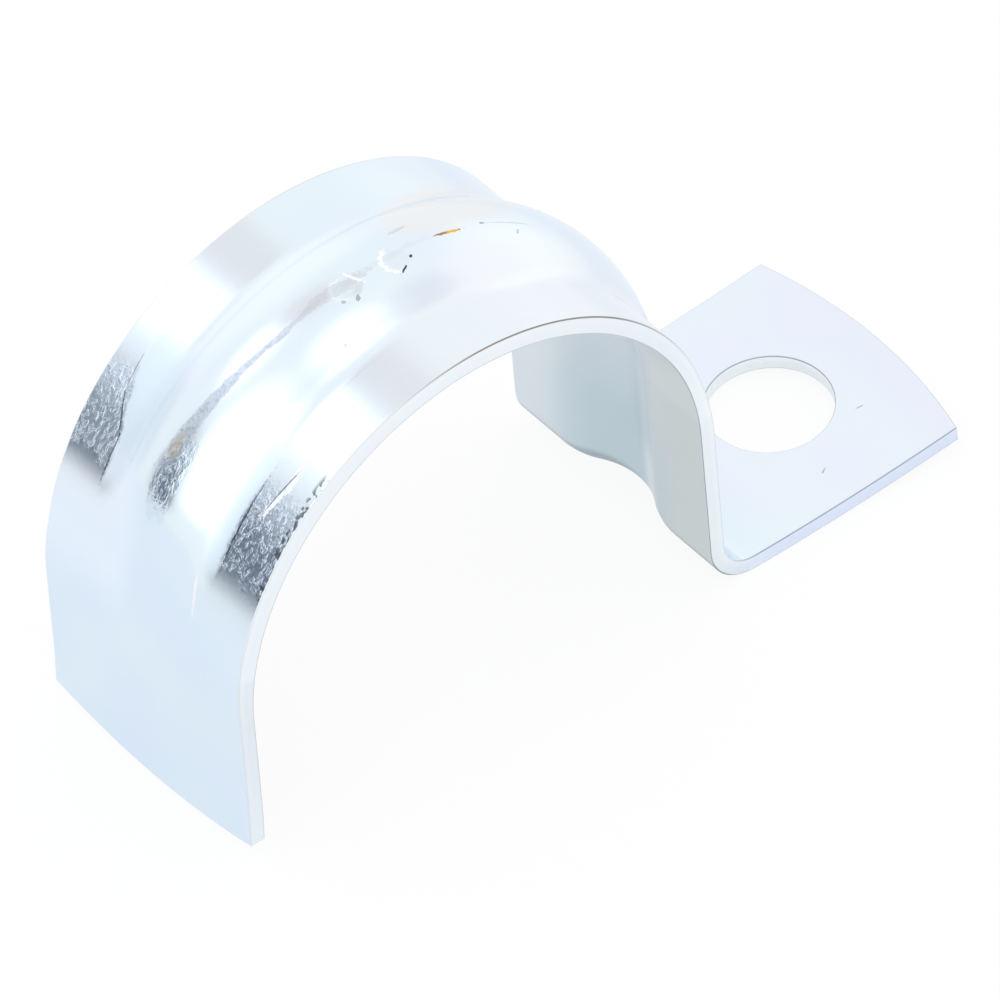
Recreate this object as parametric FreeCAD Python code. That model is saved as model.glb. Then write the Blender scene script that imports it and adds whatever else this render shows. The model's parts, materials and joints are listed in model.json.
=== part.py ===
import FreeCAD, Part
import os
from math import atan, cos, pi, radians, sin, sqrt

# One-hole conduit strap, pressed from one strip of zinc-plated sheet steel.
# Millimetres. Origin: centre of the screw hole on the underside of the foot,
# +X towards the foot's tip, +Y along the conduit, +Z away from the wall.

# Strip that the strap is pressed from
strip_width = 19.0
sheet = 1.1
end_radius = 36.0            # both ends are cut to one shallow outward arc

# Saddle that the conduit lies in
saddle_radius = 17.6         # inside
saddle_axis_height = 14.3    # above the wall, smaller than the conduit's radius
free_end_gap = 4.0           # corners of the free end above the wall
lip_length = 5.0             # last stretch of the free leg, turned a little outwards
lip_angle = 4.0

# Foot with the screw hole
bend_radius = 2.4            # inside the fold between leg and foot
foot_length = 16.0           # from the end of the fold to the tip's corners
hole_radius = 4.1
hole_to_tip = 7.2            # hole centre to the line through the tip's corners

# Stiffening rib, pressed outwards along the middle of the strip
rib_width = 10.8
rib_height = 1.5
rib_root_radius = 3.0        # outside, where the rib rises from the flat flanges
rib_end_angle = 17.0         # above the saddle's axis on the free side: the rib is gone
rib_full_angle = 37.0        # and here it has its whole height
rib_end_sections = 9

# Places worked out from the sizes above
half_strip = strip_width / 2
end_sag = end_radius - sqrt(end_radius ** 2 - half_strip ** 2)
leg_outer_x = -(foot_length - hole_to_tip + bend_radius)
leg_inner_x = leg_outer_x - sheet
saddle_x = leg_inner_x - saddle_radius
free_outer_x = saddle_x - saddle_radius - sheet
saddle_centre = FreeCAD.Vector(saddle_x, 0, saddle_axis_height)
towards_free_side = FreeCAD.Vector(0, -1, 0)


def rib_outline(offset, height):
    """One face of the strip across its width, as five (start, middle, end) runs.

    Flat flange, root arc, crown arc, root arc, flat flange. Points are (y, d),
    with d the distance from the strip's inner face. offset is 0 for the inner
    face and the sheet's thickness for the outer one, and the arcs of both faces
    share their centres, so the wall keeps its thickness through the rib.
    """
    half = rib_width / 2
    rise = 2 * atan(2 * height / rib_width)
    full_rise = 2 * atan(2 * rib_height / rib_width)
    root_share = rib_root_radius * sin(full_rise) / half
    if height > 0:
        centre_d = sheet + root_share * half / sin(rise)
        root = centre_d - offset
        joint_y = half - root * sin(rise)
        joint_d = centre_d - root * cos(rise)
        middle_y = half - root * sin(rise / 2)
        middle_d = centre_d - root * cos(rise / 2)
    else:
        joint_y = half * (1 - root_share)
        middle_y = (half + joint_y) / 2
        joint_d = middle_d = offset
    crown = (0, offset + height)
    flange_end = (-half_strip, offset)
    root_end = (-half, offset)
    root_middle = (-middle_y, middle_d)
    joint = (-joint_y, joint_d)
    left = [
        (flange_end, None, root_end),
        (root_end, root_middle, joint),
    ]
    right = []
    for start, middle, end in reversed(left):
        mirrored = middle and (-middle[0], middle[1])
        right.append(((-end[0], end[1]), mirrored, (-start[0], start[1])))
    over_crown = [(joint, crown, (-joint[0], joint[1]))]
    return left + over_crown + right


def run_edges(runs, place, flat):
    """Edges for a row of runs: a line where there is no middle point, else an arc."""
    edges = []
    for start, middle, end in runs:
        if middle is None or flat:
            edges.append(Part.makeLine(place(start), place(end)))
        else:
            arc = Part.Arc(place(start), place(middle), place(end))
            edges.append(arc.toShape())
    return edges


def strip_section(angle, height):
    """Closed section of the strip on the saddle, angle degrees up from the foot side."""
    turn = radians(angle)
    outward = FreeCAD.Vector(cos(turn), 0, sin(turn))

    def place(point):
        y, d = point
        return saddle_centre + outward * (saddle_radius + d) + FreeCAD.Vector(0, y, 0)

    flat = height == 0
    outer = run_edges(rib_outline(sheet, height), place, flat)
    inner = run_edges(rib_outline(0, height), place, flat)
    sides = []
    for y in (-half_strip, half_strip):
        sides.append(Part.makeLine(place((y, 0)), place((y, sheet))))
    return Part.Wire(Part.__sortEdges__(outer + inner + sides))


def ribbed_saddle():
    """The arch: the ribbed section turned about the conduit's axis."""
    section = Part.Face(strip_section(0, rib_height))
    return section.revolve(saddle_centre, towards_free_side, 180 - rib_full_angle)


def rib_end():
    """The stretch of arch in which the rib sinks back into the strip."""
    sections = []
    for i in range(rib_end_sections):
        share = i / (rib_end_sections - 1)
        angle = 180 - rib_full_angle + share * (rib_full_angle - rib_end_angle)
        height = rib_height * (1 + cos(pi * share)) / 2
        if i == rib_end_sections - 1:
            height = 0
        sections.append(strip_section(angle, height))
    return Part.makeLoft(sections, True, False)


def plain_saddle():
    """The last of the arch on the free side, with no rib."""
    section = Part.Face(strip_section(180 - rib_end_angle, 0))
    return section.revolve(saddle_centre, towards_free_side, rib_end_angle)


def free_leg():
    """Straight leg with its lip turned outwards and its end cut to an arc."""
    lip_top = free_end_gap - end_sag + lip_length
    lip_radius = lip_length / radians(lip_angle)
    leg = Part.makeBox(sheet, strip_width, saddle_axis_height - lip_top)
    leg.translate(FreeCAD.Vector(free_outer_x, -half_strip, lip_top))
    corner = FreeCAD.Vector(free_outer_x, -half_strip, lip_top)
    section = Part.makePlane(sheet, strip_width, corner)
    lip_centre = FreeCAD.Vector(free_outer_x - lip_radius, 0, lip_top)
    lip = section.revolve(lip_centre, FreeCAD.Vector(0, 1, 0), lip_angle)
    end_centre = FreeCAD.Vector(free_outer_x - lip_radius, 0, free_end_gap - end_sag + end_radius)
    end_cutter = Part.makeCylinder(end_radius, 2 * lip_radius, end_centre, FreeCAD.Vector(1, 0, 0))
    return leg.fuse(lip).common(end_cutter)


def rib_hollow():
    """Space under the rib on the foot's leg, from the saddle down through the fold."""
    def place(point):
        y, d = point
        return FreeCAD.Vector(leg_inner_x + d, y, -sheet)

    runs = rib_outline(0, rib_height)[1:4]
    edges = run_edges(runs, place, False)
    edges.append(Part.makeLine(place((rib_width / 2, 0)), place((-rib_width / 2, 0))))
    face = Part.Face(Part.Wire(Part.__sortEdges__(edges)))
    return face.extrude(FreeCAD.Vector(0, 0, saddle_axis_height + sheet))


def fold_edges(shape, height, inner_side):
    """Edges of the sharp corner between leg and foot at one height."""
    near_x = leg_inner_x if inner_side else leg_outer_x
    found = []
    for edge in shape.Edges:
        box = edge.BoundBox
        level = abs(box.ZMin - height) < 0.001 and abs(box.ZMax - height) < 0.001
        inside_x = box.XMin > near_x - 0.001 and box.XMax < near_x + rib_height + 0.001
        across = box.YLength > 0.001
        if level and inside_x and across:
            found.append(edge)
    return found


def foot_side():
    """Leg and foot on the screw side, with the fold between them.

    The ribbed leg runs straight down to the wall, the foot starts at it, and
    both faces of the fold are rounded about the same line, so that the rib
    dies out in the fold and the sheet keeps its thickness.
    """
    down = FreeCAD.Vector(0, 0, -saddle_axis_height)
    leg = Part.Face(strip_section(0, rib_height)).extrude(down)
    tip_x = hole_to_tip + end_sag
    foot_start = leg_outer_x - sheet / 2
    foot = Part.makeBox(tip_x - foot_start, strip_width, sheet)
    foot.translate(FreeCAD.Vector(foot_start, -half_strip, 0))
    tip_cutter = Part.makeCylinder(end_radius, sheet, FreeCAD.Vector(tip_x - end_radius, 0, 0))
    hole = Part.makeCylinder(hole_radius, sheet)
    sharp = leg.fuse(foot.common(tip_cutter)).cut(rib_hollow()).cut(hole).removeSplitter()
    rounded = sharp.makeFillet(bend_radius, fold_edges(sharp, sheet, False))
    return rounded.makeFillet(bend_radius + sheet, fold_edges(rounded, 0, True))


def strap():
    """The whole strap as one piece of folded sheet."""
    pieces = [rib_end(), plain_saddle(), free_leg(), foot_side()]
    return ribbed_saddle().multiFuse(pieces).removeSplitter()


os.makedirs("parts", exist_ok=True)
strap().exportStep("parts/strap.step")
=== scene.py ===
import json
from math import asin, atan, atan2, cos, hypot, pi, radians, sin, sqrt

import bpy
import numpy as np
from mathutils import Matrix, Vector


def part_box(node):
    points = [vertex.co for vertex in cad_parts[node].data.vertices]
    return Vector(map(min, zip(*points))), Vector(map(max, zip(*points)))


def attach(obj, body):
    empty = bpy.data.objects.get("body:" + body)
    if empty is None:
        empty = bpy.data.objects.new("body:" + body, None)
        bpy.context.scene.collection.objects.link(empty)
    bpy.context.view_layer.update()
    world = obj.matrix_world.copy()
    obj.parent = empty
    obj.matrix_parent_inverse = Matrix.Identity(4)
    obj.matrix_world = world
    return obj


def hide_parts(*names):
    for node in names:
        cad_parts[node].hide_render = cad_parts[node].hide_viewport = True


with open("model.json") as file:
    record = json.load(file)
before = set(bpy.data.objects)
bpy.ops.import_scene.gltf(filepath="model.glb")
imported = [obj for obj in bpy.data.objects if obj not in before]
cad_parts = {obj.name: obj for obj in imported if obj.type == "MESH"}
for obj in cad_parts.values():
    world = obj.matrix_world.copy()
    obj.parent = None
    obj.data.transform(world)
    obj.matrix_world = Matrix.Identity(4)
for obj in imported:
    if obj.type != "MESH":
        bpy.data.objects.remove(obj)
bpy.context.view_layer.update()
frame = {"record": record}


# Strap
# One strip of zinc-plated sheet steel, sheared to length, pressed into a saddle with
# a stiffening rib along its middle, and folded out into a foot with one screw hole.
# The screw through the foot is all that fixes it to the wall.
mm = 0.001
mounts = frame["record"]["mounts"]
screw_hole, saddle = (mount for mount in mounts if mount["kind"] in ("bore", "clamp"))
sheet = screw_hole["dims"]["length_mm"] * mm
hole_radius = screw_hole["dims"]["r_mm"] * mm
saddle_radius = saddle["dims"]["r_mm"] * mm
saddle_x, saddle_z = saddle["pos_m"][0], saddle["pos_m"][2]
low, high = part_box("strap")
half_width = (high.y - low.y) / 2
end_radius = 36.0 * mm
end_sag = end_radius - sqrt(end_radius ** 2 - half_width ** 2)
free_end_gap = 4.0 * mm
tip_x = high.x

# Bends of the strip, measured on the middle of its thickness
middle_radius = saddle_radius + sheet / 2
fold_radius = 2.4 * mm + sheet / 2
lip_angle = radians(4.0)
lip_reach = 5.0 * mm
lip_length = lip_reach + sheet / 2 * lip_angle
free_apex_z = free_end_gap - end_sag
free_leg_length = saddle_z - free_apex_z - lip_reach

# The fold stops short of square and the foot is a little dished: it starts downwards and
# turns up towards its tip, and its lowest place is where it would meet the wall.
foot_dip = radians(3.2)
foot_bow = radians(6.2)
fold_turn = pi / 2 - foot_dip
fold_start_x = saddle_x + middle_radius
fold_end_x = fold_start_x + fold_radius * (1 - cos(fold_turn))
foot_length = tip_x - fold_end_x
foot_dish = foot_length * foot_dip / foot_bow * sin(foot_dip / 2)
fold_start_z = sheet / 2 + foot_dish + fold_radius * sin(fold_turn)

# Stiffening rib: it rises from the flanges in root arcs and closes in a crown arc. It grows
# from nothing to its full height between two angles on the free side, and in the foot it
# dies out over rib_settle.
rib_half = 5.4 * mm
rib_height = 1.5 * mm
rib_root_radius = 3.0 * mm
rib_gone = radians(17.0)
rib_full = radians(37.0)
rib_settle = 2.9 * mm

# Sheared edges: rolled over on the outer face, with a small burr on the inner one, and
# leaning on the saddle, where the lean fades in over lean_fade
edge_roll = 0.06 * mm
edge_burr = 0.03 * mm
edge_lean = 0.26 * mm
lean_fade = 4.0 * mm
roll_steps = 3

# Two plain round punch marks on the crest, near the top: how far along and across
punch_marks = ((42.1 * mm, -0.8 * mm), (38.7 * mm, -0.7 * mm))
punch_radius = 1.0 * mm
punch_depth = 0.12 * mm

# (length, turn to the left) of each stretch, from the free end to the foot's tip
stretches = (
    (lip_length, lip_angle),
    (free_leg_length, 0.0),
    (pi * middle_radius, -pi),
    (saddle_z - fold_start_z, 0.0),
    (fold_turn * fold_radius, fold_turn),
    (foot_length, foot_bow),
)
stretch_starts = np.cumsum([0.0] + [length for length, turn in stretches])
arch_start, leg_start, fold_start, foot_start, strip_length = stretch_starts[2:]
hole_s = foot_start - fold_end_x


def middle_line(s):
    """x, z and heading of the strip's middle at length s: each stretch adds its chord.

    A chord of an arc is length x sinc(turn / 2), in the direction half way through the turn.
    The whole line is then moved so that its arch starts level with the saddle's axis.
    """
    x = np.full_like(s, saddle_x - middle_radius)
    z = np.full_like(s, saddle_z)
    heading = np.full_like(s, pi / 2 - lip_angle)
    start_heading = pi / 2 - lip_angle
    x_at_arch = z_at_arch = 0.0
    for start, (length, turn) in zip(stretch_starts, stretches):
        gone = np.clip(s - start, 0.0, length)
        turned = turn * gone / length
        chord = gone * np.sinc(turned / 2 / pi)
        x = x + chord * np.cos(start_heading + turned / 2)
        z = z + chord * np.sin(start_heading + turned / 2)
        heading = heading + turned
        if start < arch_start:
            full_chord = length * np.sinc(turn / 2 / pi)
            x_at_arch += full_chord * cos(start_heading + turn / 2)
            z_at_arch += full_chord * sin(start_heading + turn / 2)
        start_heading += turn
    return x - x_at_arch, z - z_at_arch, heading


def rib_rise(y, height):
    """How far the strip's middle stands off the flanges at y, where the rib is height tall.

    Outside the joints: root circle, centre above y = rib_half. Between them: crown circle.
    Both meet at the slope angle 2 atan(height / rib_half), so height fades without a kink.
    """
    least_height = 1e-7
    height = np.maximum(height, least_height)
    slope = 2 * np.arctan(height / rib_half)
    full_slope = 2 * atan(rib_height / rib_half)
    both_radii = rib_half / np.sin(slope)
    root = rib_root_radius * sin(full_slope) / np.sin(slope) + sheet / 2
    crown = both_radii - root
    joint = rib_half - root * np.sin(slope)
    across = np.minimum(np.abs(y), rib_half)
    on_root = root - np.sqrt(root ** 2 - np.minimum(rib_half - across, root) ** 2)
    on_crown = height - crown + np.sqrt(crown ** 2 - np.minimum(across, joint) ** 2)
    return np.where(across > joint, on_root, on_crown)


def strip_middle(s, y):
    """Point of the strip's middle: the bent line, pushed out by the rib.

    The rib pushes square to the line as far as the leg. In the fold and the foot it
    pushes along +X, as the whole fold is carried out by it, and dies out in the foot.
    """
    x, z, heading = middle_line(s)
    above_springing = (s - arch_start) / middle_radius
    fade = np.clip((above_springing - rib_gone) / (rib_full - rib_gone), 0.0, 1.0)
    height = rib_height * (1 - np.cos(pi * fade)) / 2
    rise = rib_rise(y, height)
    settle = np.clip((s - foot_start) / rib_settle, 0.0, 1.0)
    rise = rise * (1 - settle * settle * (3 - 2 * settle))
    past_leg = s > fold_start
    push_x = np.where(past_leg, 1.0, -np.sin(heading))
    push_z = np.where(past_leg, 0.0, np.cos(heading))
    return np.stack([x + push_x * rise, y, z + push_z * rise], axis=-1)


def punch_dent(s, y):
    """Depth of the punch marks: each a bowl, punch_depth x (1 - (r / punch_radius) ^ 4) ^ 2."""
    depth = np.zeros_like(s)
    for mark_s, mark_y in punch_marks:
        reach = np.hypot(s - mark_s, y - mark_y) / punch_radius
        depth += punch_depth * np.clip(1 - reach ** 4, 0, 1) ** 2
    return depth


def strip_point(s, y, w):
    """Point of the strip: w off its middle, square to the surface there, positive outwards.

    The punch marks sink into the outer face, and the inner one stays whole. On the saddle
    the outer face is edge_lean narrower a side than the inner one, as bending stretches
    one face and crowds the other.
    """
    step = 0.01 * mm
    along = strip_middle(s + step, y) - strip_middle(s - step, y)
    across = strip_middle(s, y + step) - strip_middle(s, y - step)
    normal = np.cross(along, across)
    normal /= np.linalg.norm(normal, axis=-1, keepdims=True)
    bent = np.clip(np.minimum(s - arch_start, leg_start - s) / lean_fade, 0, 1)
    outwards = w / sheet + 0.5
    lean = bent * edge_lean / half_width * outwards
    point = strip_middle(s, y * (1 - lean))
    sunk = w - punch_dent(s, y) * outwards
    return point + normal * np.expand_dims(sunk, -1)


# Grid of the flat strip: rows across it up to the hole's field, then rings round the hole.
# The first rows follow the free end's arc and straighten over end_field.
field_s = hole_s - 5.8 * mm
end_field = 6.0 * mm
ring_reach = 5.0 * mm
column_step = 0.25 * mm
row_step = 0.28 * mm
fine_step = 0.12 * mm
fine_rows = (37.4 * mm, 43.4 * mm)
fine_columns = (-2.0 * mm, 0.5 * mm)
hem = 0.04 * mm


def shares(length, step):
    """Even shares of a length from 0 to 1, with one narrow cell at either end."""
    count = int(round(length / step))
    even = np.linspace(0, 1, count + 1)
    return np.concatenate([[0, hem / length], even[1:-1], [1 - hem / length, 1]])


def refined(places, start, end):
    """The same places, but fine_step apart from start to end, where the punch marks are."""
    fine = np.linspace(start, end, int(round((end - start) / fine_step)) + 1)
    coarse = places[(places < start - fine_step) | (places > end + fine_step)]
    return np.sort(np.concatenate([coarse, fine]))


even_columns = (2 * shares(2 * half_width, column_step) - 1) * half_width
columns = refined(even_columns, *fine_columns) / half_width
even_rows = np.append(shares(field_s, row_step)[:-2], 1.0) * field_s
rows = refined(even_rows, *fine_rows) / field_s
sides = shares(strip_length - end_sag - field_s, row_step)[1:]
rings = shares(ring_reach, row_step)


def end_line(y, inset):
    """How far an end's arc lies beyond the end's corners at y, with the outline inset."""
    radius = end_radius - inset
    return np.sqrt(radius ** 2 - y ** 2) - (end_radius - end_sag)


def flat_grid(inset):
    """(s, y) of every grid point, the outline and the hole drawn in by inset."""
    half = half_width - inset
    y = columns * half
    free_corner = end_sag - end_line(half, inset)
    nominal = free_corner + rows * (field_s - free_corner)
    arc = end_line(half, inset) - end_line(y, inset)
    fade = np.clip(1 - nominal / end_field, 0, 1)
    strip_s = nominal[:, None] + fade[:, None] * arc[None, :]
    strip_y = np.broadcast_to(y, strip_s.shape)

    tip_corner = strip_length - end_sag
    side_s = field_s + sides * (tip_corner + end_line(half, inset) - field_s)
    tip_s = tip_corner + end_line(y, inset)
    side_y = np.full(len(side_s) - 1, half)
    loop_s = np.concatenate([side_s[:-1], tip_s, side_s[-2::-1], np.full(len(y), field_s)])
    loop_y = np.concatenate([-side_y, y, side_y, y[::-1]])
    turn = np.arctan2(loop_y, loop_s - hole_s)
    share = rings[1:, None]
    ring_s = (1 - share) * loop_s + share * (hole_s + (hole_radius + inset) * np.cos(turn))
    ring_y = (1 - share) * loop_y + share * (hole_radius + inset) * np.sin(turn)
    new = len(loop_s) - len(y)
    s = np.concatenate([strip_s.ravel(), loop_s[:new], ring_s.ravel()])
    y = np.concatenate([strip_y.ravel(), loop_y[:new], ring_y.ravel()])
    return s, y


def quads(grid, closed):
    """Four-cornered faces between the rows of a grid of point numbers."""
    ahead = np.roll(grid, -1, axis=1)
    faces = np.stack([grid[:-1], grid[1:], ahead[1:], ahead[:-1]], axis=-1)
    return faces.reshape(-1, 4) if closed else faces[:, :-1].reshape(-1, 4)


def strap_mesh():
    """Both faces of the sheet from one flat grid, joined round the outline and the hole.

    A level is (how far the grid is inset, how far off the middle). The first is the
    outer face, the last the inner one, and those between are the sheared edge: a
    quarter circle of roll-over, then straight down to the burr.
    """
    corner = np.linspace(0, pi / 2, roll_steps + 1)
    straight = sheet / 2 - edge_roll - hem
    inset = np.concatenate([edge_roll * (1 - np.sin(corner)), [0.0, 0.0, 0.0, edge_burr]])
    off = np.concatenate([
        sheet / 2 - edge_roll * (1 - np.cos(corner)),
        [straight, edge_burr + hem - sheet / 2, edge_burr - sheet / 2, -sheet / 2],
    ])
    flat = [flat_grid(value) for value in inset]
    count = len(flat[0][0])
    strip_size = len(rows) * len(columns)
    strip = np.arange(strip_size).reshape(len(rows), len(columns))
    new_loop = 2 * (len(sides) - 1) + len(columns)
    loop = np.concatenate([strip_size + np.arange(new_loop), strip[-1, ::-1]])
    ring = strip_size + new_loop + np.arange((len(rings) - 1) * len(loop)).reshape(-1, len(loop))
    rings_grid = np.concatenate([loop[None], ring])
    face = np.concatenate([quads(strip, False), quads(rings_grid, True)[:, ::-1]])

    outline = np.concatenate([strip[:, 0], loop[:new_loop], strip[::-1, -1], strip[0, -2:0:-1]])
    hole = ring[-1]
    border = np.concatenate([outline, hole])
    levels = [border]
    parts = [np.stack([*flat[0], np.full(count, off[0])])]
    placed = count
    for (s, y), w in zip(flat[1:-1], off[1:-1]):
        parts.append(np.stack([s[border], y[border], np.full(len(border), w)]))
        levels.append(placed + np.arange(len(border)))
        placed += len(border)
    parts.append(np.stack([*flat[-1], np.full(count, off[-1])]))
    levels.append(placed + border)
    levels = np.array(levels)
    edge = len(outline)
    rim = np.concatenate([quads(levels[:, :edge], True), quads(levels[:, edge:], True)[:, ::-1]])
    flat_points = np.concatenate(parts, axis=1)
    points = strip_point(*flat_points)
    faces = np.concatenate([face, placed + face[:, ::-1], rim])
    sheared = np.zeros(len(points))
    sheared[levels[1:-1]] = 1.0
    return points, faces, flat_points, sheared


points, faces, flat_points, sheared = strap_mesh()
mesh = bpy.data.meshes.new("strap_zinc")
mesh.from_pydata(points, [], faces)
mesh.update()
where = mesh.attributes.new("strip_mm", "FLOAT_VECTOR", "POINT")
where.data.foreach_set("vector", (flat_points.T / mm).astype(np.float32).ravel())
edge = mesh.attributes.new("cut_edge", "FLOAT", "POINT")
edge.data.foreach_set("value", sheared.astype(np.float32))
mesh.polygons.foreach_set("use_smooth", np.ones(len(faces), bool))
strap = bpy.data.objects.new("strap_zinc", mesh)
bpy.context.scene.collection.objects.link(strap)

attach(strap, "root")
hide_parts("strap")


def linear(colour):
    """sRGB hex colour as linear red, green, blue and alpha."""
    parts = [int(colour[i:i + 2], 16) / 255 for i in (1, 3, 5)]
    return [p / 12.92 if p <= 0.04045 else ((p + 0.055) / 1.055) ** 2.4 for p in parts] + [1.0]


def add(kind, settings, *values, **named):
    """Adds a node to the tree in hand, sets it up, and returns its first live output.

    The values go to its live sockets in order, or by name. A socket is linked, and
    anything else is set as it is.
    """
    node = tree.nodes.new("ShaderNode" + kind)
    for name, value in settings.items():
        setattr(node, name, value)
    filled = list(zip([socket for socket in node.inputs if socket.enabled], values))
    filled += [(node.inputs[name.replace("_", " ")], value) for name, value in named.items()]
    for socket, value in filled:
        if isinstance(value, bpy.types.NodeSocket):
            tree.links.new(value, socket)
        else:
            socket.default_value = value
    return next((output for output in node.outputs if output.enabled), None)


# Settings of the nodes. A MapRange goes from 0 to 1 between its first two numbers, or else
# from its third number to its fourth, on a smooth curve or on a straight line.
smooth = {"interpolation_type": "SMOOTHSTEP"}
straight = {"interpolation_type": "LINEAR"}
minus, over = {"operation": "SUBTRACT"}, {"operation": "DIVIDE"}
times, times_plus = {"operation": "MULTIPLY"}, {"operation": "MULTIPLY_ADD"}
larger, smaller = {"operation": "MAXIMUM"}, {"operation": "MINIMUM"}
absolute = {"operation": "ABSOLUTE"}
tint = {"data_type": "RGBA"}

# Bright zinc plate, blue passivated: a pale bluish metal, smooth but not polished. The die
# left its grain where it pinched the sheet, low on the flanges and on the rib's crest, as
# fine pebbles drawn out along the strip. Inside the saddle the plating is duller.
zinc = bpy.data.materials.new("bright_zinc_plate")
zinc.use_nodes = True
tree = zinc.node_tree
tree.nodes.clear()

# Places are in mm: along the strip from its free end, across it, and off its middle
strip = add("Attribute", {"attribute_name": "strip_mm"}).node.outputs["Vector"]
cut = add("Attribute", {"attribute_name": "cut_edge"}).node.outputs["Fac"]
along, across, off = add("SeparateXYZ", {}, strip).node.outputs
from_middle = add("Math", absolute, across)
outside = add("MapRange", smooth, off, 0.0, 0.3)
outer_face = add("Math", times, outside, add("Math", minus, 1.0, cut))

# Patterns, each with the real size of its lumps: ragged borders, grit, drops of dirt, the
# plate's clouds, the sheet's faint waves, and the grain's pebbles drawn out along the strip
border_size, grit_size, drop_size, cloud_size, wave_size = 0.9, 0.16, 0.45, 7.0, 4.0
pebble_size, pebble_stretch = 0.30, 1.7
drawn_out = add("Mapping", {}, strip, Scale=(1 / pebble_stretch, 1.0, 1.0))
ragged = add("TexNoise", {}, strip, Scale=1 / border_size, Detail=2.5, Roughness=0.6)
grit = add("TexNoise", {}, strip, Scale=1 / grit_size, Detail=1.0, Roughness=0.6)
drops = add("TexNoise", {}, strip, Scale=1 / drop_size, Detail=1.0, Roughness=0.6)
clouds = add("TexNoise", {}, strip, Scale=1 / cloud_size, Detail=0.0)
waves = add("TexNoise", {}, strip, Scale=1 / wave_size, Detail=0.0)
pebbles = add(
    "TexNoise", {}, drawn_out,
    Scale=1 / pebble_size, Detail=2.0, Roughness=0.6, Distortion=0.3,
)


def stretch(start, full, leaving, gone):
    """1 on a stretch along the strip: it rises from start to full, and falls after leaving."""
    fading_in = add("MapRange", smooth, along, start, full)
    return add("Math", times, fading_in, add("MapRange", smooth, along, gone, leaving))


# Grain of the die: on the near flange, on the far one behind a slanting border, and on the
# crest. It reaches lowest beside the near root of the rib, and its border is ragged by up
# to 1.2 mm along the strip and 0.4 mm across it, either way.
pinched_from, pinched_to = 21.4, 28.2
lowest_at = -5.5
ragged_along = add("Math", times_plus, ragged, 2.4, add("Math", minus, along, 1.2))
ragged_across = add("Math", times_plus, ragged, 0.8, add("Math", minus, across, 0.4))
from_lowest = add("Math", absolute, add("Math", minus, across, lowest_at))
low_border = add("MapRange", straight, from_lowest, 0.5, 3.5, pinched_from, pinched_from + 0.5)
past_border = add("MapRange", smooth, add("Math", minus, ragged_along, low_border), -0.6, 0.0)
before_end = add("MapRange", smooth, ragged_along, pinched_to, pinched_to - 2.0)
near_flange = add("MapRange", smooth, ragged_across, -5.2, -5.6)
far_border = add("MapRange", straight, along, 23.4, 28.3, 5.6, 7.3)
far_flange = add("MapRange", smooth, add("Math", minus, ragged_across, far_border), 0.0, 0.4)
flanges = add("Math", larger, near_flange, far_flange)
crest_end = add("MapRange", smooth, ragged_along, 27.0, 25.8)
crest = add("Math", times, add("MapRange", smooth, from_middle, 1.1, 0.7), crest_end)
pinched = add("Math", times, past_border, before_end)
held = add("Math", larger, flanges, crest)
grain = add("Math", times, add("Math", times, pinched, held), outer_face)

# Relief: pebbles with creases between them, deep in the grain and faint elsewhere, less
# their mean height so that the grain isn't raised
mean_height = 0.54
creases = add("Math", absolute, add("Math", minus, pebbles, 0.5))
creased = add("Math", times_plus, creases, 0.5, add("Math", minus, pebbles, mean_height))
relief = add("Math", times, creased, add("Math", times_plus, grain, 0.75, 0.03))
height = add("Math", times_plus, waves, 0.5, relief)
bump = add("Bump", {}, Height=height, Distance=0.07 * mm, Strength=1.0)

# Plate inside: greyer, partly a duller plate and partly painted shade, which is lighter towards
# the far side and deepest in the hollow of the rib and low on the leg, with a painted highlight
# as a paler line along the hollow's near border
# Painted shade: darker low on the leg and in the hollow of the rib
low_leg = add("MapRange", smooth, along, 68.0, 76.0)
far_plate = add("Mix", tint, low_leg, linear("#E6EBF0"), linear("#DEE7EE"))
towards_far = add("MapRange", smooth, across, -5.0, 5.0)
inner_plate = add("Mix", tint, towards_far, linear("#D4DBDC"), far_plate)
shaded_hollow_plate = add("Mix", tint, low_leg, linear("#D4DEE7"), linear("#C6D7E0"))
in_hollow = add("MapRange", smooth, from_middle, 7.5, 2.5)
inner_plate = add("Mix", tint, in_hollow, inner_plate, shaded_hollow_plate)
# Painted highlight: a paler line along the hollow's near border
hollow_highlight_at = -3.0
from_hollow_highlight = add("Math", absolute, add("Math", minus, across, hollow_highlight_at))
hollow_highlight = add("Math", times, add("MapRange", smooth, from_hollow_highlight, 1.7, 0.2), 0.5)
inner_plate = add("Mix", tint, hollow_highlight, inner_plate, linear("#F4F9FD"))

# Plate outside: blue and a little cloudy, with painted light as paler zones low on the far side
# and on the near side of the top, and darker in the grain, where painted shade deepens the die's
# grain
cloudy = add("MapRange", straight, clouds, 0.35, 0.65)
saddle_plate = add("Mix", tint, cloudy, linear("#DBE9F9"), linear("#DDECF8"))
foot_plate = add("Mix", tint, cloudy, linear("#E0E9FA"), linear("#DFEBF8"))
on_foot = add("MapRange", smooth, along, 84.0, 88.0)
outer_plate = add("Mix", tint, on_foot, saddle_plate, foot_plate)
# Painted light: paler on the near side of the top and low on the far side
near_side = add("MapRange", smooth, across, 0.0, -5.0)
painted_light_near_top = add("Math", times, near_side, stretch(36.0, 41.0, 58.0, 64.0))
outer_plate = add("Mix", tint, painted_light_near_top, outer_plate, linear("#E1EBF6"))
far_side = add("MapRange", smooth, across, 0.5, 3.5)
painted_light_far_low = add("Math", times, far_side, stretch(11.0, 16.0, 22.0, 24.0))
outer_plate = add("Mix", tint, painted_light_far_low, outer_plate, linear("#E5F0FD"))
# Darker in the grain: the die's grain, deepened by painted shade
grain_and_painted_shade = add("Math", times, grain, 0.5)
outer_plate = add("Mix", tint, grain_and_painted_shade, outer_plate, linear("#CBDBEE"))
colour = add("Mix", tint, outside, inner_plate, outer_plate)

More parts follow.
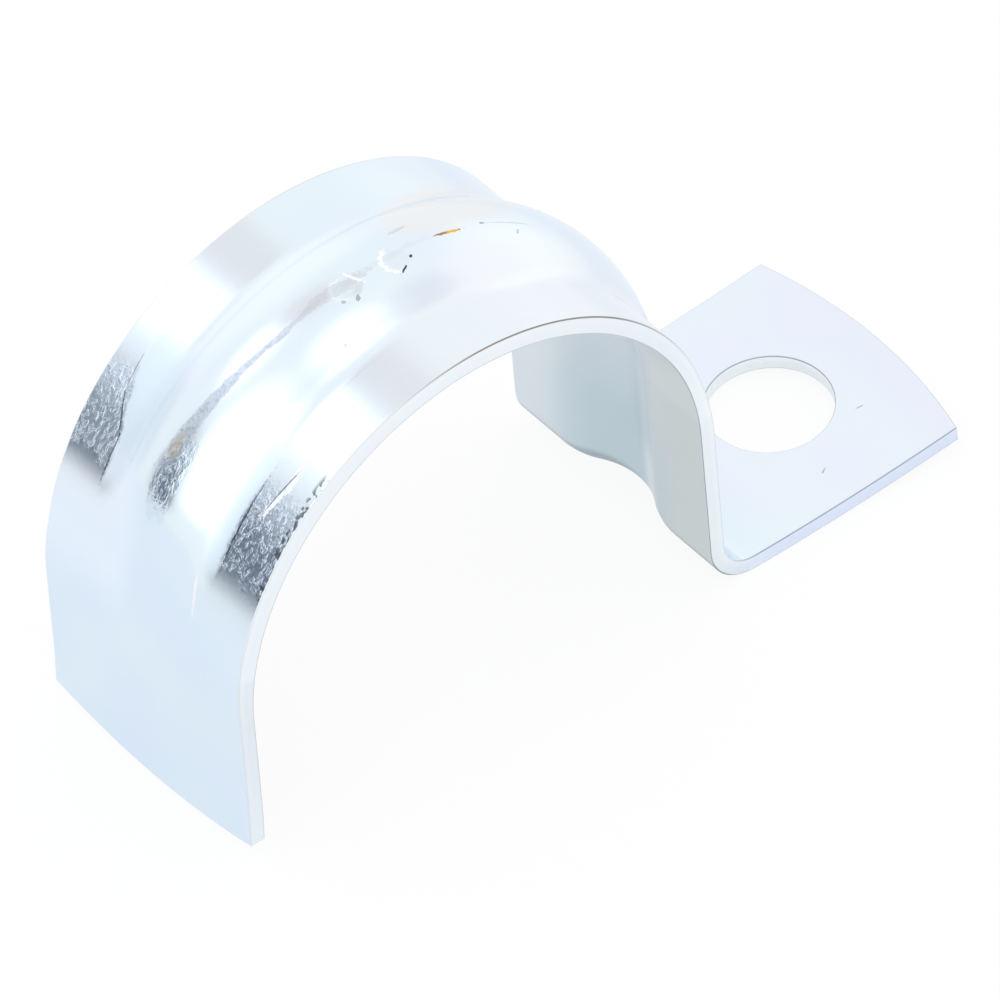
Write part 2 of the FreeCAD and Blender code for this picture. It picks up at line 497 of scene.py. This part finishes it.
# Roughness: matt inside and smooth outside, a little rougher in the grain, most so on the
# far side, and rubbed matt on the rib's roots beside the grain
outer_roughness, inner_roughness, rubbed_roughness = 0.21, 0.41, 0.38
roughness = add("Math", times_plus, outside, outer_roughness - inner_roughness, inner_roughness)
grain_roughness = add("MapRange", straight, across, 4.0, 6.0, 0.03, 0.08)
roughness = add("Math", times_plus, grain, grain_roughness, roughness)
at_roots = add("MapRange", smooth, from_middle, 3.6, 4.6)
beside_grain = add("Math", times, at_roots, add("Math", minus, 1.0, flanges))
beside_grain = add("Math", times, beside_grain, stretch(19.5, 21.5, 28.5, 31.0))
rubbed = add("Math", times, beside_grain, outer_face)
roughness = add("Math", times_plus, rubbed, rubbed_roughness, roughness)

# Crest streak: painted dark reflection, a grey streak along the crest, broad and gritty below,
# thin above, that slants from the far side to the near one
streak_middle = add("MapRange", straight, along, 24.0, 34.0, 0.78, -0.40)
streak_half = add("MapRange", straight, along, 24.0, 33.0, 0.70, 0.20)
from_streak = add("Math", absolute, add("Math", minus, across, streak_middle))
streak_side = add("Math", minus, from_streak, 0.25)
streak_reach = add("Math", over, add("Math", times_plus, ragged, 0.5, streak_side), streak_half)
painted_crest_streak = add("MapRange", smooth, streak_reach, 1.15, 0.7)
for streak_share in (
    add("MapRange", straight, along, 25.0, 30.0, 0.4, 0.95),
    add("MapRange", straight, along, 33.2, 37.2, 1.0, 0.12),
    add("MapRange", straight, grit, 0.35, 0.6, 0.7, 1.0),
    stretch(23.0, 25.0, 43.0, 46.0),
    outside,
):
    painted_crest_streak = add("Math", times, painted_crest_streak, streak_share)
gritty = add("MapRange", straight, along, 26.5, 30.0, 0.8, 0.1)
specks = add("Math", times, add("MapRange", smooth, grit, 0.52, 0.66), gritty)
# Painted dark reflection, with darker gritty specks
crest_streak_colour = add("Mix", tint, specks, linear("#B3BDCF"), linear("#868E9F"))
colour = add("Mix", tint, painted_crest_streak, colour, crest_streak_colour)
roughness = add("Math", times_plus, painted_crest_streak, 0.12, roughness)


def out_from(s, y, half_length, half_width, turned=0, half_depth=0.3):
    """How far out of an oval spot on the outer face: 0 in its middle and 1 on its border."""
    spot = add(
        "Mapping", {"vector_type": "TEXTURE"}, strip,
        (s, y, sheet / 2 / mm), (0, 0, radians(turned)), (half_length, half_width, half_depth),
    )
    return add("VectorMath", {"operation": "LENGTH"}, spot)


# A greyer film of the passivation on the far side, over the top
film = add("MapRange", smooth, out_from(49.3, 2.8, 6.4, 2.9, 15), 1.15, 0.75)
colour = add("Mix", tint, add("Math", times, film, outside), colour, linear("#E1E8F0"))

# Sheared edge: pale and matt, paler still on the hole's wall as painted light, with a thin dark
# line along each of its borders that comes and goes along the strip
# Painted light: the hole's wall paler than the foot's outer edges
painted_light_hole_wall = add("MapRange", smooth, from_middle, 7.0, 5.0)
foot_edge = add("Mix", tint, painted_light_hole_wall, linear("#E3ECFC"), linear("#F6FCFF"))
on_leg = add("MapRange", smooth, along, 58.0, 68.0)
edge_colour = add("Mix", tint, on_leg, linear("#EEF5FC"), linear("#F2F9FF"))
on_foot = add("MapRange", smooth, along, 80.0, 86.0)
edge_colour = add("Mix", tint, on_foot, edge_colour, foot_edge)
colour = add("Mix", tint, cut, colour, edge_colour)
roughness = add("Math", times_plus, cut, 0.24, roughness)

down_leg = add("MapRange", straight, along, 53.0, 62.0, 0.85, 0.2)
past_fold = add("MapRange", straight, along, 81.0, 84.0, 0.2, 0.75)
up_free_side = add("MapRange", straight, along, 34.0, 42.0, 0.17, 1.0)
outer_share = add("Math", times, add("Math", larger, down_leg, past_fold), up_free_side)
outer_line = add("Math", times, add("MapRange", smooth, off, 0.43, 0.49), outer_share)
down_leg = add("MapRange", straight, along, 56.0, 62.0, 0.35, 0.9)
past_fold = add("MapRange", straight, along, 80.0, 83.0, 0.9, 0.35)
inner_share = add("Math", smaller, down_leg, past_fold)
inner_line = add("Math", times, add("MapRange", smooth, off, -0.45, -0.52), inner_share)
line = add("Math", times, add("Math", larger, outer_line, inner_line), cut)
past_top = add("MapRange", smooth, along, 52.0, 60.0)
line_colour = add("Mix", tint, past_top, linear("#77706E"), linear("#8593A8"))
colour = add("Mix", tint, line, colour, line_colour)

# Drops of dirt along the near edge beside the grain, and painted shade on the inner face of the
# fold, where it curves down to the table
at_near_edge = add("MapRange", smooth, across, -8.8, -9.1)
at_near_edge = add("Math", times, at_near_edge, stretch(20.5, 21.5, 29.0, 30.5))
dirt = add("Math", times, at_near_edge, add("MapRange", smooth, drops, 0.50, 0.56))
dirt = add("Math", times, add("Math", times, dirt, outer_face), 0.75)
colour = add("Mix", tint, dirt, colour, linear("#454D5A"))
# Painted shade on the inner face of the fold, where it curves down to the table
inner_face = add("MapRange", smooth, off, -0.40, -0.50)
fold_painted_shade = add("Math", times, inner_face, stretch(79.7, 80.5, 81.5, 82.5))
colour = add("Mix", tint, add("Math", times, fold_painted_shade, 0.4), colour, linear("#5C6B76"))

# Punch marks: painted shade in the hollow, a little greyer than the plate, and a painted
# highlight on the rim on the free side
radius = punch_radius / mm
for (mark_s, mark_y), glint_share in zip(punch_marks, (1.0, 0.2)):
    out_from_mark = out_from(mark_s / mm, mark_y / mm, radius, radius, 0, radius)
    reach = add("Math", times_plus, drops, 0.6, add("Math", minus, out_from_mark, 0.3))
    # Painted shade in the hollow of the mark
    hollow = add("Math", times, add("MapRange", smooth, reach, 0.9, 0.5), 0.15)
    colour = add("Mix", tint, hollow, colour, linear("#C3CBD8"))
    # Painted highlight on the free side of the rim
    lip_glint = add("MapRange", smooth, reach, 0.78, 0.86)
    for glint_part in (
        add("MapRange", smooth, reach, 1.06, 0.98),
        add("MapRange", smooth, along, mark_s / mm + 0.1 * radius, mark_s / mm - 0.4 * radius),
        add("MapRange", straight, grit, 0.38, 0.5, 0.2, glint_share),
    ):
        lip_glint = add("Math", times, lip_glint, glint_part)
    colour = add("Mix", tint, lip_glint, colour, linear("#FFFFFF"))
    roughness = add("Math", times_plus, lip_glint, 0.25, roughness)

# Scratches, stains, dark lines along the rib's near root and the grain's borders, painted
# highlights on the punch marks, the rib's near root and the near flange, and painted shade
# on the punch marks' rims: each an oval with a gritty border
blemishes_and_painted_light = (
    # along, across, half its length, half its width, turned by, colour, share, rougher by
    # Painted shade on the rim of the upper punch mark
    (42.05, -1.70, 0.36, 0.07, 30, "#33353D", 0.95, 0.0),
    (42.93, -1.12, 0.14, 0.09, 30, "#33353D", 0.95, 0.0),
    (43.70, 1.15, 0.62, 0.13, 5, "#C4CAD3", 0.6, 0.0),
    # Painted highlight on the lower punch mark, and painted shade on its near rim
    (39.40, -0.40, 0.09, 0.75, 22, "#FFFFFF", 0.9, 0.3),
    (38.72, -1.72, 0.26, 0.14, 40, "#8E94A0", 0.7, 0.0),
    (37.95, -1.40, 0.14, 0.12, 0, "#9A9FA8", 0.6, 0.0),
    (46.05, -0.55, 1.00, 0.10, -4, "#9A7230", 0.9, 0.0),
    (46.35, -0.57, 0.45, 0.12, -4, "#E8B84A", 0.9, 0.0),
    (48.57, -0.49, 0.16, 0.09, 0, "#8B8788", 0.7, 0.0),
    (50.40, -0.72, 1.70, 0.05, -7, "#B3B7BE", 0.5, 0.0),
    (50.63, -1.48, 0.24, 0.08, 40, "#A5A8AE", 0.6, 0.0),
    (36.31, -3.37, 0.16, 0.10, 0, "#A9AEB6", 0.6, 0.0),
    (96.60, -4.00, 0.30, 0.05, -8, "#A5ACB8", 0.8, 0.0),
    (91.49, -6.65, 0.30, 0.05, 30, "#A5ACB8", 0.8, 0.0),
    # Painted highlight along the rib's near root
    (18.48, -4.25, 1.45, 0.13, 9, "#F4F9FF", 0.95, 0.2),
    (33.20, -5.55, 3.80, 0.06, 1, "#A3ABB8", 0.15, 0.0),
    (24.20, -5.62, 3.30, 0.07, 0, "#3D4652", 0.7, 0.0),
    # Painted highlights on the near flange
    (28.40, -7.30, 1.10, 0.24, 4, "#F0F6FF", 1.0, 0.4),
    (26.50, -6.96, 1.25, 0.22, -15, "#F0F6FF", 1.0, 0.4),
    (27.30, -6.98, 1.90, 0.06, -10, "#4A525E", 0.7, 0.0),
    (27.10, 7.45, 1.25, 0.05, 7, "#6A7380", 0.5, 0.0),
    (24.70, 6.62, 1.55, 0.07, 28, "#4A525E", 0.7, 0.0),
    (22.00, 5.95, 1.55, 0.07, 0, "#4A525E", 0.7, 0.0),
    (25.70, 0.50, 0.85, 0.36, 0, "#CDB793", 0.40, 0.1),
    (38.00, -0.40, 2.40, 0.42, -4, "#C3CAD6", 0.4, 0.0),
)
for *oval, paint, share, rougher in blemishes_and_painted_light:
    reach = add("Math", times_plus, grit, 1.4, add("Math", minus, out_from(*oval), 0.7))
    spot = add("Math", times, add("MapRange", smooth, reach, 1.1, 0.8), share)
    colour = add("Mix", tint, spot, colour, linear(paint))
    if rougher:
        roughness = add("Math", times_plus, spot, rougher, roughness)

metal = add(
    "BsdfPrincipled", {},
    Base_Color=colour, Metallic=1.0, Roughness=roughness, Normal=bump,
)
add("OutputMaterial", {}, Surface=metal)
mesh.materials.append(zinc)


# Floor
# A plain white table top. The strap lies on its fold and on the end of its free leg,
# so the table leans by that much in the strap's own frame.
across_x = fold_start_x + fold_radius - low.x
rise_z = fold_start_z - free_apex_z
table_lean = asin((fold_radius + sheet / 2) / hypot(across_x, rise_z)) - atan2(rise_z, across_x)
contact_x = low.x + free_apex_z / np.tan(table_lean)
floor_size = 0.11
floor_mesh = bpy.data.meshes.new("table_top")
corners = np.array([(-1, -1), (1, -1), (1, 1), (-1, 1)]) * floor_size
floor_z = -(corners[:, 0] - contact_x) * np.tan(table_lean)
floor_mesh.from_pydata(np.column_stack([corners, floor_z]), [], [(0, 1, 2, 3)])
floor = bpy.data.objects.new("table_top", floor_mesh)
bpy.context.scene.collection.objects.link(floor)

# White paper, matt. Seen straight or in the metal it is mostly plain white, and the rest
# of it takes the strap's shadow.
paper = bpy.data.materials.new("white_paper")
paper.use_nodes = True
tree = paper.node_tree
tree.nodes.clear()
seen_share, mirrored_share = 0.9, 0.75
matt_paper = add("BsdfDiffuse", {}, Color=linear("#EEF1F5"))
plain_white = add("Emission", {}, Color=(1, 1, 1, 1), Strength=1.0)
path = add("LightPath", {}).node.outputs
mirrored = add("Math", times, path["Is Glossy Ray"], mirrored_share)
share = add("Math", times_plus, path["Is Camera Ray"], seen_share, mirrored)
paper_look = add("MixShader", {}, share, matt_paper, plain_white)
add("OutputMaterial", {}, Surface=paper_look)
floor_mesh.materials.append(paper)


# Light
# Plain soft light from a white room. One side of it is brighter, and a low grey doorway
# there is what the bright metal shows as its one dark reflection.
world = bpy.data.worlds.new("white_room")
world.use_nodes = True
tree = world.node_tree
tree.nodes.clear()
direction = add("TexCoord", {}).node.outputs["Generated"]
room = (1.12, 1.085, 1.03, 1)
patches = (
    # azimuth, elevation, full within, gone beyond, red, green, blue
    (116, 50, 11, 16, 1.7, 1.7, 1.7),
    (192, 38, 20, 34, 1.7, 1.7, 1.7),
    (285, 76, 8, 18, 1.6, 1.6, 1.6),
    (82, 55, 8, 14, 1.0, 0.91, 0.86),
    (340, 52, 6, 16, 0.98, 0.965, 0.96),
    (80, 10, 12, 26, 1.22, 1.16, 1.10),
    (12, 14, 12, 26, 1.25, 1.19, 1.12),
    (358, 28, 10, 20, 1.22, 1.14, 1.08),
    (103, -5, 4, 13, 0.95, 0.95, 0.95),
    (143, 21, 4, 14, 0.55, 0.56, 0.58),
    (145, 8, 6, 18, 0.04, 0.075, 0.12),
)
for azimuth, elevation, inner, outer, *brightness in patches:
    a, e = radians(azimuth), radians(elevation)
    centre = (cos(e) * cos(a), cos(e) * sin(a), sin(e))
    facing = add("VectorMath", {"operation": "DOT_PRODUCT"}, direction, centre)
    patch = add("MapRange", smooth, facing, cos(radians(outer)), cos(radians(inner)))
    room = add("Mix", tint, patch, room, (*brightness, 1))
for_camera = add("LightPath", {}).node.outputs["Is Camera Ray"]
backdrop = add("Mix", tint, for_camera, room, (1, 1, 1, 1))
sky = add("Background", {}, Color=backdrop, Strength=1.0)
add("OutputWorld", {}, Surface=sky)
bpy.context.scene.world = world


# Camera
# Far off with a long lens, as the picture shows hardly any perspective. It looks down on
# the strap from beyond the near edge of its free side.
camera_azimuth = radians(35.560)
camera_elevation = radians(46.297)
camera_roll = radians(-5.169)
camera_aim = Vector((-25.169, -5.882, 15.073)) * mm
camera_distance = 2374.67 * mm
back = Vector((
    -sin(camera_azimuth) * cos(camera_elevation),
    -cos(camera_azimuth) * cos(camera_elevation),
    sin(camera_elevation),
))
right = Vector((cos(camera_azimuth), -sin(camera_azimuth), 0))
up = back.cross(right)
rolled_right = cos(camera_roll) * right + sin(camera_roll) * up
rolled_up = cos(camera_roll) * up - sin(camera_roll) * right
camera_data = bpy.data.cameras.new("camera")
camera_data.lens = 1400
camera_data.sensor_width = 36
camera_data.clip_end = 10
camera = bpy.data.objects.new("camera", camera_data)
turn = Matrix((rolled_right, rolled_up, back)).transposed()
camera.matrix_world = Matrix.Translation(camera_aim + back * camera_distance) @ turn.to_4x4()
bpy.context.scene.collection.objects.link(camera)
bpy.context.scene.camera = camera

bpy.context.scene.view_settings.view_transform = "Standard"
